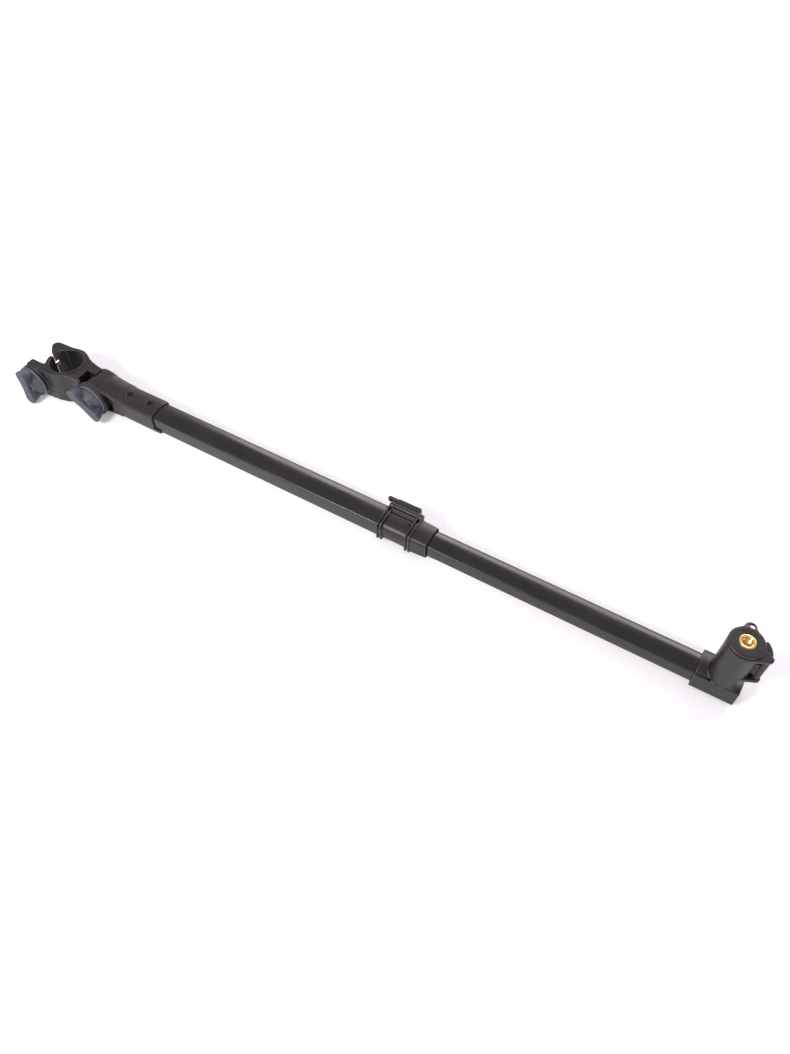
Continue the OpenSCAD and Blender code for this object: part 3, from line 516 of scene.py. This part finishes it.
def arm_socket():
    g = x, y, z = cells((26.6, -18.6, -19.9), (136, 14.6, 19.9))
    piv = np.hypot(x - PIVOT, z)
    side = SLEEVE[0]
    barrel = meet(piv - BARREL_R, slab(y, -14.5, 14.5), 1.4)
    cup = meet(piv - 19.8, slab(y, -18.5, -13.5), 0.7)
    sleeve = meet(oval(y, z, *SLEEVE), slab(x, 72, SLEEVE_END), 0.9)
    # the web narrows from the barrel to the sleeve
    top = np.interp(x, [46, 58, 62, 68, 78, 84],
                    [15.2, 15.0, 13.6, 12.6, 10.6, 10.0]).astype(np.float32)
    arch = RISE - (y / side) ** 2 * RISE
    web = meet(np.abs(z) - top - arch * np.clip((x - 46) / 14, 0, 1), np.abs(y) - side, 1.2)
    web = meet(web, slab(x, 46, 84), 0.4)
    scoop = poly(x, np.abs(y), [(58, 18), (58, 10.4), (63, 9.4), (68, 9.8), (76, 11.8),
                                (84, 14.0), (90, 18)])
    web = cut(web, meet(scoop, np.abs(z) - top + 2.4, 1.0), 0.9)
    body = join(join(barrel, web, 2.2), sleeve, 2.0)
    # the underside stays flat beside the barrel, where the neck swings past
    body = cut(body, meet(meet(z + 16.4, BARREL_R - piv), -13.7 - y), 0.2)
    # shell under the tube, past the end of the sleeve
    lip = meet(oval(y, z, *SLEEVE), slab(x, SLEEVE_END - 2, SLEEVE_END + 7), 0.8)
    body = join(body, meet(lip, z + 6 + 0.06 * (x - SLEEVE_END), 0.8), 0.4)
    body = join(body, cup, 0.8)
    body = cut(body, meet(oval(y, z, *OUTER_SEAT), 80 - x), 0.5)
    body = cut(body, meet(piv - 18.9, y + 16), 0.4)
    body = cut(body, piv - PIVOT_HOLE, 0.3)
    body = cut(body, meet(six(x - PIVOT, z, 6.5), 10.5 - y), 0.5)
    # cavity and mouth of the tongue
    mouth = np.minimum(meet(slab(x, 16, PIVOT), slab(z, -40, 7.3)),
                       meet(slab(x, 34.5, 55), slab(z, -40, 0)))
    cavity = np.minimum(piv - 14.1, mouth)
    body = cut(body, meet(cavity, slab(y, -12.3, 1.3)), 0.6)
    for sx in SCREW_XS:
        hole = np.hypot(x - sx, y)
        body = cut(body, meet(hole - 4.2, 11.45 - z), 0.7)
        body = cut(body, meet(hole - 2.02, 9 - z), 0.2)
    # small inspection mark pressed into the near side
    mark = np.hypot((x - SCREW_XS[1]) / 2.6, (z - 1) / 1.5) - 1
    body = join(body, meet(mark * 1.5, slab(y, -14.5, -13.5), 0.2), 0.3)
    return surface("arm_socket_shell", g, body)


def socket_screws():
    z = 11.4         # seat of the heads
    steps = [(0.02, z - 1.8), (1.9, z - 1.75), (1.98, z + 0.06), (3.35, z + 0.06),
             (3.4, z + 0.3), (3.25, z + 0.75), (2.9, z + 1.02), (2.5, z + 1.1), (1.75, z + 1.1),
             (1.55, z + 1.02, True), (1.5, z + 0.15, True), (0.3, z + 0.05, True), (0.02, z + 0.04)]
    return loft("socket_screw_heads", [turned("z", (sx, 0), steps) for sx in SCREW_XS])


# ---------------------------------------------------------------- tubes

def tube(name, ends, outline, corner_in):
    """Flat-oval tube with its rims broken outside and inside."""
    x0, x1 = ends
    w, h, rise, r = outline
    wall, rim, rim_in, spans = 1.3, 0.35, 0.25, 12
    outer = [(x0, rim), (x0 + rim, 0.0)]
    step = (x1 - x0) / spans
    outer += [(x0 + step * i, 0.0) for i in range(1, spans)]
    outer += [(x1 - rim, 0.0), (x1, rim)]
    rings = [oval_ring(x, w, h, rise, r, i) for x, i in outer]
    rings += [oval_ring(x, w - wall, h - wall, rise, corner_in, -i if i else 0.0)
              for x, i in ((x1, rim_in), (x1 - rim_in, 0), (x0 + rim_in, 0), (x0, rim_in))]
    return loft(name, [(rings, True)])


def tube_plug():
    face = INNER_X[0]
    core = (9.45, 5.25, 2.88, 0.8)
    rings = [oval_ring(face + at, *INNER, inset)
             for at, inset in ((-2, 0.8), (-1.75, 0.3), (-1.4, 0), (-0.02, 0))]
    rings += [oval_ring(face + at, *core, inset)
              for at, inset in ((0.02, 0), (11.4, 0), (12, 0.4))]
    return loft("inner_tube_cap", [(rings, False)])


# ---------------------------------------------------------------- collar

def recess_oval(y, z):
    """Outline of the collar between its flanges."""
    return oval(y, z, 14.2, 8.2, RISE, 5.2)


def collar_body():
    g = x, y, z = cells((COLLAR, -15.3, -13.7), (COLLAR_END, 15.7, 15.7), FINE)
    pin_r = np.hypot(y - LEVER[0], z - LEVER[1])
    ear = pin_r - 3.4
    between = slab(x, *RECESS)
    foot = rect(y, z, 7.7, 13.2, 0, 14.2, 1)
    wide = join(oval(y, z, 15.2, 10.4, RISE, 2.6), join(ear, foot, 0.5), 1.2)
    inner = oval(y, z, 13.1, 8.75, RISE, 2.0)
    body = meet(recess_oval(y, z), slab(x, COLLAR, COLLAR_SLEEVE), 0.5)
    for x0 in (COLLAR, RECESS[1]):
        flange = meet(wide, slab(x, x0, x0 + FLANGE), 0.45)
        channel = meet(slab(x, x0 + 1.35, x0 + 3.65), -inner, 0.3)
        channel = cut(channel, ear, 0.3)
        body = join(body, cut(flange, channel, 0.3), 0.7)
    taper = (x - COLLAR_SLEEVE) * 0.045
    body = join(body, meet(oval(y, z, 13.9, 9.4, RISE, 2.4) + taper,
                           slab(x, COLLAR_SLEEVE - 1, COLLAR_END), 0.9), 0.8)
    # bump at the left flange, boss of the screw, hood over the lever's pin
    bump = np.hypot(y - 0.6, z - 12.0) - 1.5
    body = join(body, meet(bump, slab(x, 405, 408.2), 0.5), 0.5)
    boss = meet(np.hypot(x - COLLAR_SCREW, y) - 2.3, slab(z, 9, 11.7), 0.5)
    body = join(body, boss, 0.5)
    hood = poly(y, z, [(6.0, 9.5), (6.0, 12.1), (8.7, 13.8), (9.3, 13.8), (9.3, 9.5)])
    body = join(body, meet(hood, slab(x, 406, 433), 0.4), 0.3)
    body = join(body, meet(np.hypot(y - 6.0, z - 11.9) - 0.45, between, 0.2), 0.3)
    # three-cornered pocket at the foot of each flange
    for px, lean in ((431.6, -1), (407.4, 1)):
        pocket = poly(x, z, [(px, 3), (px + 7 * lean, -8.6), (px, -8.6)])
        body = cut(body, meet(pocket, y + 12.9, 0.3), 0.5)
    # seats of the outer tube, bush and pad, then the room for the lever and its pin
    body = cut(body, meet(oval(y, z, *OUTER_SEAT), x - 406.5), 0.4)
    body = cut(body, meet(oval(y, z, *OUTER), 439 - x), 0.3)
    body = cut(body, oval(y, z, *WAY), 0.3)
    body = cut(body, meet(meet(slab(x, 412.2, 424.8), slab(y, -1, 8.0)), slab(z, 4, 10.3)))
    body = cut(body, meet(pin_r - 3.8, between), 0.4)
    body = cut(body, meet(meet(between, LEVER[0] - y), 1.5 - z), 0.5)
    body = cut(body, meet(pin_r - PIN_HOLE, slab(x, 403, 436)), 0.2)
    body = cut(body, meet(np.hypot(x - COLLAR_SCREW, y) - 1.12, 5 - z), 0.1)
    return surface("collar_shell", g, body)


def collar_lever():
    g = x, y, z = cells((396, 9.2, -13.1), (431.8, 22, 15.7), FINE)
    length = slab(x, *GRIP)
    hub = meet(np.hypot(y - 11.92, z - 11.92) - 2.6, length, 0.3)
    neck = poly(y, z, [(9.9, 12.2), (9.9, 14.1), (11.4, 15.0), (19.7, 15.4), (19.7, 11.2),
                       (12.2, 10.2)])
    neck = meet(neck, length, 0.4)
    seam = np.hypot(y - 13.4, z - 15.5) - 0.55
    neck = cut(neck, seam, 0.4)
    # handle down the far side, ribbed on its outside
    rib_depth, rib_step = 0.28, 2.6
    ribs = rib_depth * np.cos(z * (2 * math.pi / rib_step))
    plate = (rect(y, z, 16.9, 19.75, -12, 12.2, 1.0)
             - np.where(y > 18.5, ribs, 0) * np.clip((10 - z) / 2, 0, 1))
    lip = np.hypot(y - 19.9, z + 11) - 1.95
    grip = meet(join(plate, lip, 1.5), length, 0.9)
    # thumb bar, which stands out past the left flange
    crown = poly(y, z, [(14.2, 14.0), (15.6, 15.7), (19.4, 15.7), (19.4, 10.5), (15.6, 10.5)])
    crown = meet(rect(y, z, 14.4, 19.3, 10.6, 15.6, 1.0), crown, 0.6)
    bar = meet(crown, slab(x, 396, 430.7), 1.0)
    bar = meet(bar, (396.3 - x) + np.abs(y - 17.2) * 0.9, 0.8)
    bar = meet(bar, np.where(x < GRIP[0], 15.9 - y, -5))
    notch = meet(slab(x, 426.9, 427.7), 15.1 - z, 0.3)
    lever = join(join(join(hub, neck, 1.2), grip, 1.2), cut(bar, notch, 0.6), 0.8)
    lever = cut(lever, np.hypot(y - LEVER[0], z - LEVER[1]) - PIN_HOLE, 0.2)
    return surface("collar_lever_grip", g, lever)


def collar_bush():
    x0, x1, rim = 439.05, 453, 0.4
    seat = (12.38, 8.18, RISE, 1.6)
    rings = [oval_ring(x0, *seat), oval_ring(x1 - rim, *seat), oval_ring(x1, *seat, rim),
             oval_ring(x1, *WAY, -0.3), oval_ring(x1 - rim, *WAY), oval_ring(x0, *WAY)]
    return loft("collar_bush_ring", [(rings, True)])


def collar_screw():
    z = 11.7         # seat of the head
    steps = [(0.02, z - 1.6), (0.9, z - 1.5), (1.08, z + 0.02), (1.6, z + 0.02), (1.7, z + 0.3),
             (1.55, z + 0.85), (1.3, z + 1.15), (0.95, z + 1.18), (0.85, z + 1.1, True),
             (0.8, z + 0.65, True), (0.2, z + 0.6, True), (0.02, z + 0.6)]
    return loft("collar_screw_head", [turned("z", (COLLAR_SCREW, 0), steps)])


def collar_pad():
    g = x, y, z = cells((412.4, -0.9, 4), (424.6, 7.9, 12), FINEST)
    band = meet(recess_oval(y, z), -oval(y, z, *WAY))
    pad = meet(meet(band, slab(x, 412.35, 424.65)), slab(y, -0.85, 7.85))
    return surface("collar_brake_pad", g, meet(pad, slab(z, 4, 10.2)))


# ---------------------------------------------------------------- end socket

def pin_plan(x, y, g):
    """Outline of the plates that carry the lever pin, grown by g."""
    r = PLATE_R + g
    span = (PIN[0] - POST, PIN[1])
    a = math.atan2(span[1], span[0]) - math.acos((POST_R - PLATE_R) / math.hypot(*span))
    b = math.radians(55)
    near, far = (math.cos(a), math.sin(a)), (math.cos(b), math.sin(b))
    p1 = (POST + 14.15 * near[0], 14.15 * near[1])
    p2 = (PIN[0] + r * near[0], PIN[1] + r * near[1])
    p3 = (PIN[0] + r * far[0], PIN[1] + r * far[1])
    p4 = (p3[0] - 13 * far[1], p3[1] + 13 * far[0])
    return np.minimum(disc(x, y, *PIN, r), poly(x, y, [(POST, 0), p1, p2, p3, p4]))


def end_socket():
    g = x, y, z = cells((704, -15.2, -12.5), (748.3, 15.2, 57.1))
    rr = np.hypot(x - POST, y)
    box = meet(rect(x, y, 704, 740.7, -13.9, 13.9, 1.0), slab(z, -8.6, 9.2), 0.8)
    under = meet(oval(y, z, 13.5, 8.9, RISE, 1.6), slab(x, 704, 740.5), 0.8)
    under = meet(under, z, 0)
    cover = meet(oval(y, z, 11.4, 10.0, RISE, 0.8), slab(x, 704, 730), 0.7)
    cover = meet(cover, -z, 0)
    base = join(join(box, under, 0.5), cover, 0.8)
    post = meet(rr - POST_R, slab(z, 0, POST_TOP), 0.8)
    body = join(base, post, 1.8)
    # slope from the foot of the barrel to the right end
    flare = rr - POST_R - np.clip((12.4 - z) * 0.9, 0, 4)
    foot = meet(meet(flare, slab(z, 0, 12.4), 0.5), 726 - x, 0.5)
    body = join(body, meet(foot, slab(y, -12.6, 12.6), 0.5), 1.2)
    body = meet(body, np.minimum(x - 740.75, 30 - z))
    plan = pin_plan(x, y, 0.0)
    for z0, z1 in ((53.6, POST_TOP), (23.6, 27.0)):
        body = join(body, meet(plan, slab(z, z0, z1), 0.8), 0.8)
    # small pocket where the ledge meets the barrel
    pocket = meet(slab(x, 714.4, 716.6), slab(y, -13.0, -11.6), 0.3)
    body = cut(body, meet(pocket, 6 - z), 0.4)
    # tube, plug, pad, pin and screws
    body = cut(body, meet(oval(y, z, *INNER_SEAT), x - 712.9), 0.5)
    body = cut(body, meet(rr - 11, 20 - z), 0.9)
    body = cut(body, meet(meet(slab(y, -6.5, 0.5), slab(z, 33, 47.6)), POST - x), 0.4)
    body = cut(body, meet(disc(x, y, *PIN, PIN_HOLE), slab(z, 24.6, 56)), 0.2)
    for sx in END_SCREW_XS:
        hole = np.hypot(x - sx, y)
        body = cut(body, meet(hole - 1.4, z), 0.1)
        body = cut(body, meet(hole - 1.9, z + 11), 0.2)
    return surface("end_socket_shell", g, body)


def end_screws():
    steps = [(0.02, -11.35), (0.8, -11.4, True), (0.8, -11.75, True), (0.9, -11.8), (1.5, -11.78),
             (1.83, -11.6), (1.8, -11.02), (1.38, -11.0), (1.38, -7.4), (1.2, -7.05), (0.02, -7.0)]
    return loft("end_screw_heads", [turned("z", (sx, 0), steps) for sx in END_SCREW_XS])


def end_lever():
    g = x, y, z = cells((737.4, -5.8, 25), (747.3, 11.7, 56.8), FINEST)
    cam_x = PIN[0] - 0.4
    cam = disc(x, y, cam_x, PIN[1], 2.7)
    for angle in (-150, -112, -74, -36):     # grooves along the cam
        c, s = math.cos(math.radians(angle)), math.sin(math.radians(angle))
        cam = cut(cam, disc(x, y, cam_x + 2.75 * c, PIN[1] + 2.75 * s, 0.5), 0.25)
    web = rect(x, y, 743.2, 746.5, -2, 2.2, 0.4)
    wall = rect(x, y, 741.1, 746.5, 0.2, 2.4, 0.5)
    wall = join(wall, disc(x, y, 742.6, 0.1, 0.5), 0.1)
    core = meet(join(join(cam, web, 0.6), wall, 0.4), slab(z, 27.3, 53.3), 0.5)
    groove = meet(disc(x, y, 742.6, 0.1, 0.65), slab(z, 29, 51.6))
    core = cut(core, groove, 0.3)
    # finger plates above and below, between the post and the pin's plates
    u, v = x - POST, y
    lean = math.radians(39.5)
    wedge = np.maximum(-(v + 0.8), v * math.cos(lean) - u * math.sin(lean))
    post_gap = POST_R + 1 - np.hypot(u, v)
    ear = meet(meet(disc(x, y, POST + 4, -2, 17.3), wedge, 1.0), post_gap, 0.5)
    ear = meet(ear, -pin_plan(x, y, 0.5), 0.4)
    ear = meet(ear, slab(z, 25, 56.7), 0.9)
    lever = join(core, ear, 0.6)
    lever = cut(lever, disc(x, y, *PIN, PIN_HOLE), 0.2)
    lever = meet(lever, post_gap, 0.2)
    return surface("end_lever_grip", g, lever)


def end_pad():
    g = x, y, z = cells((734.8, -6.3, 33.2), (741.7, 0.3, 47.4), FINEST)
    pad = meet(rect(x, y, 734.9, 741.55, -6.2, 0.2, 0.5), slab(z, 33.3, 47.3), 0.6)
    return surface("end_brake_pad", g, meet(pad, 10.8 - np.hypot(x - POST, y), 0.3))


def insert_plug():
    g = x, y, z = cells((711, -14.5, 24), (740, 19.8, 61.4), 0.35)
    rr = np.hypot(x - POST, y)
    head_low = PLUG_TOP - 3
    shaft = meet(rr - 10.7, slab(z, 24, 59), 0.7)
    tab = join(disc(x, y, POST - 1, 14.8, 4.8),
               poly(x, y, [(718, 9), (732, 9), (729.3, 14.8), (719.7, 14.8)]), 1.5)
    head = meet(rr - 14.4, slab(z, head_low, PLUG_TOP), 1.9)
    head = join(head, meet(tab, slab(z, head_low, PLUG_TOP - 0.4), 1.4), 1.6)
    plug = join(head, shaft, 0.5)
    plug = cut(plug, disc(x, y, POST, 15.8, 2.0), 0.9)
    plug = cut(plug, meet(rr - 6.52, 45.3 - z), 0.3)
    plug = cut(plug, rr - 4.5, 0.3)
    plug = cut(plug, meet(slab(z, 28.9, 31.1), 9.05 - rr), 0.3)
    return surface("insert_plug_body", g, plug)


def insert_bush():
    top, low = PLUG_TOP + 0.2, 45.4
    rings = thread("z", (POST, 0), low + 0.3, top - 0.9, 4.0, 0.55, 1.25, 40, True)
    steps = ((4.15, top - 0.55), (4.65, top - 0.1), (4.8, top), (6.25, top), (6.45, top - 0.12),
             (6.5, top - 0.35), (6.5, low + 0.3), (6.2, low))
    rings = [ring("z", (POST, 0), low, 4.3, 40)] + rings
    rings += [ring("z", (POST, 0), w, r, 40) for r, w in steps]
    return loft("thread_insert_bush", [(rings, True)], 50)


def friction_ring():
    around, section, r, bead, height = 72, 20, 9.95, 0.85, 30
    rings = []
    for i in range(around):
        a = 2 * math.pi * i / around
        rings.append([(POST + (r + bead * math.cos(b)) * math.cos(a),
                       (r + bead * math.cos(b)) * math.sin(a), height + bead * math.sin(b))
                      for b in np.linspace(0, 2 * math.pi, section, endpoint=False)])
    return loft("plug_friction_ring", [(rings, True)])


# ---------------------------------------------------------------- hardware

def stud():
    c = (BOLT, 0)
    low = [ring("y", c, w, r, 32) for r, w in ((0.02, -38.1), (2.2, -38.1), (2.9, -37.4))]
    rings = low + thread("y", c, -37.3, 19.6, 2.98, 0.4, 1.0)
    rings += [ring("y", c, w, r, 32) for r, w in ((2.95, 19.65), (2.5, 20.0), (0.02, 20.0))]
    return loft("clamp_stud_thread", [(rings, False)], 50)


def hex_nut(name, c, y0, y1, flat, bore):
    tip, rim = 0.25, 0.4
    rings = [ring("y", c, y, r, 48, h) for y, r, h in (
        (y0, flat * 0.97, False), (y0 + tip, flat * 0.999, True), (y1 - tip, flat * 0.999, True),
        (y1, flat * 0.97, False), (y1, bore + rim, False), (y1 - rim, bore, False),
        (y0 + rim, bore, False), (y0, bore + rim, False))]
    return loft(name, [(rings, True)])


def washer(name, c, y0, y1, r, bore):
    rim, rim_in = 0.2, 0.15
    rings = [ring("y", c, y, q, 64) for y, q in (
        (y0, r - rim), (y0 + rim, r), (y1 - rim, r), (y1, r - rim),
        (y1, bore + rim_in), (y1 - rim_in, bore), (y0 + rim_in, bore), (y0, bore + rim_in))]
    return loft(name, [(rings, True)])


def pivot_bolt():
    c = (PIVOT, 0)
    steps = [(0.02, -27.1), (3.4, -27.1), (3.98, -26.4), (3.98, 10.52), (6.38, 10.55, True),
             (6.4, 10.8, True), (6.4, 13.6, True), (6.1, 13.95), (5.4, 14.0), (4.6, 13.9),
             (0.02, 13.9)]
    return loft("pivot_bolt_steel", [turned("y", c, steps)])


def pin(name, axis, c, w0, w1):
    r, rim = PIN_R - 0.02, 0.3
    return loft(name, [turned(axis, c, [(0.02, w0), (PIN_R - rim, w0), (r, w0 + rim),
                                        (r, w1 - rim), (PIN_R - rim, w1), (0.02, w1)], 32)])


# ---------------------------------------------------------------- build

# each row: piece, body it rides on, slot, the CAD node it replaces, material
PIECES = [
    (clamp_body(), "clamp_head", "black_plastic", "clamp_body", PLASTIC),
    (bore_liner(), "clamp_head", "black_rubber", "bore_liner", RUBBER),
    (hex_nut("clamp_nut_brass", (BOLT, 0), 15.45, 20.35, 4.31, 3.1), "clamp_head", "brass",
     "clamp_nut", BRASS),
    (washer("clamp_washer_disc", (BOLT, 0), -27.48, -26.52, 7.95, 3.35), "clamp_head", "zinc_steel",
     "clamp_washer", STEEL),
    (wing_knob("clamp_wing_knob", BOLT, -27.6, 90), "clamp_handle", "knob_grey",
     "clamp_knob", KNOB),
    (stud(), "clamp_handle", "zinc_steel", "clamp_stud", STEEL),
    (arm_socket(), "arm", "black_plastic", "arm_socket", PLASTIC),
    (socket_screws(), "arm", "black_steel", "socket_screws", BLACKENED),
    (pivot_bolt(), "arm", "zinc_steel", "pivot_bolt", STEEL),
    (washer("pivot_washer_disc", (PIVOT, 0), -16.98, -16.02, 9.95, 4.1), "arm", "zinc_steel",
     "pivot_washer", STEEL),
    (wing_knob("pivot_wing_knob", PIVOT, -17.1, 37), "pivot_handle", "knob_grey",
     "pivot_knob", KNOB),
    (hex_nut("pivot_nut_brass", (PIVOT, 0), -24.05, -17.2, 5.6, 4.1), "pivot_handle", "brass",
     "pivot_knob_nut", BRASS),
    (tube("outer_tube_skin", OUTER_X, OUTER, 1.0), "arm", "anodised_tube", "outer_tube", TUBE),
    (collar_body(), "arm", "black_plastic", "collar_body", PLASTIC),
    (collar_bush(), "arm", "black_rubber", "collar_bush", RUBBER),
    (collar_screw(), "arm", "black_steel", "collar_screw", BLACKENED),
    (pin("collar_pin_steel", "x", LEVER, 403.1, 435.9), "arm", "zinc_steel",
     "collar_lever_pin", STEEL),
    (collar_lever(), "collar_lever", "black_plastic", "collar_lever", PLASTIC),
    (collar_pad(), "arm", "black_rubber", "collar_pad", RUBBER),
    (tube("inner_tube_skin", INNER_X, INNER, 0.8), "inner_arm", "anodised_tube",
     "inner_tube", TUBE),
    (tube_plug(), "inner_arm", "black_plastic", "inner_tube_plug", PLASTIC),
    (end_socket(), "inner_arm", "black_plastic", "end_socket", PLASTIC),
    (end_screws(), "inner_arm", "zinc_steel", "end_socket_screws", STEEL),
    (pin("end_pin_steel", "z", PIN, 24.7, 55.9), "inner_arm", "zinc_steel", "end_lever_pin", STEEL),
    (end_lever(), "end_lever", "black_plastic", "end_lever", PLASTIC),
    (end_pad(), "inner_arm", "black_rubber", "end_pad", RUBBER),
    (friction_ring(), "plug", "black_rubber", "plug_ring", RUBBER),
    (insert_plug(), "plug", "black_plastic", "insert_plug", PLASTIC),
    (insert_bush(), "plug", "brass", "thread_insert", BRASS),
]
for piece in PIECES:
    fit(*piece)


# ---------------------------------------------------------------- stage, light, camera

def floor():
    g = Graph("floor_white")
    drift = g.ramp(g.noise(6, 3), 0.3, 0.7)
    g.set(Base_Color=g.mix(drift, (0.90, 0.90, 0.905, 1), (0.915, 0.912, 0.92, 1)),
          Roughness=g.ramp(g.noise(40, 3), 0, 1, 0.55, 0.7),
          Emission_Color=(0.96, 0.96, 1.0, 1), Emission_Strength=0.24)
    # the part doesn't lie level in its own frame: height at the origin and two slopes
    low, tilt_x, tilt_y = -20.34, 0.00983, 0.0471
    half = 6000.0
    mesh = bpy.data.meshes.new("floor")
    corners = [(-half, -half), (half, -half), (half, half), (-half, half)]
    mesh.from_pydata([(x * MM, y * MM, (low + x * tilt_x + y * tilt_y) * MM) for x, y in corners],
                     [], [(0, 1, 2, 3)])
    obj = new_object("studio_floor", mesh)
    obj.data.materials.append(g.mat)


def softbox(name, at, target, size, power, color):
    light = bpy.data.lights.new(name, "AREA")
    light.shape = "RECTANGLE"
    light.size, light.size_y = size
    light.energy = power
    light.color = color
    obj = bpy.data.objects.new(name, light)
    obj.location = at
    obj.rotation_euler = (Vector(target) - Vector(at)).to_track_quat("-Z", "Y").to_euler()
    bpy.context.scene.collection.objects.link(obj)


floor()
middle = (0.36, 0.0, 0.0)
softbox("back_soft", (0.36, 1.7, 0.8), middle, (2.6, 0.8), 30, (1.0, 0.945, 0.95))
softbox("edge_soft", (-0.05, -0.95, 0.9), middle, (0.45, 0.2), 14, (1.0, 0.96, 0.97))

world = bpy.data.worlds.new("studio")
world.use_nodes = True
sky = world.node_tree.nodes["Background"].inputs
sky["Color"].default_value = (0.965, 0.92, 0.975, 1)
sky["Strength"].default_value = 0.6
bpy.context.scene.world = world
bpy.context.scene.view_settings.view_transform = "Standard"

camera = bpy.data.objects.new("camera", bpy.data.cameras.new("camera"))
camera.data.sensor_fit = "AUTO"
camera.data.sensor_width = 36
camera.data.lens = 27.39
camera.location = (0.64989, -0.39802, 0.59635)
camera.rotation_euler = (math.radians(37.73), 0, math.radians(30.66))
bpy.context.scene.collection.objects.link(camera)
bpy.context.scene.camera = camera
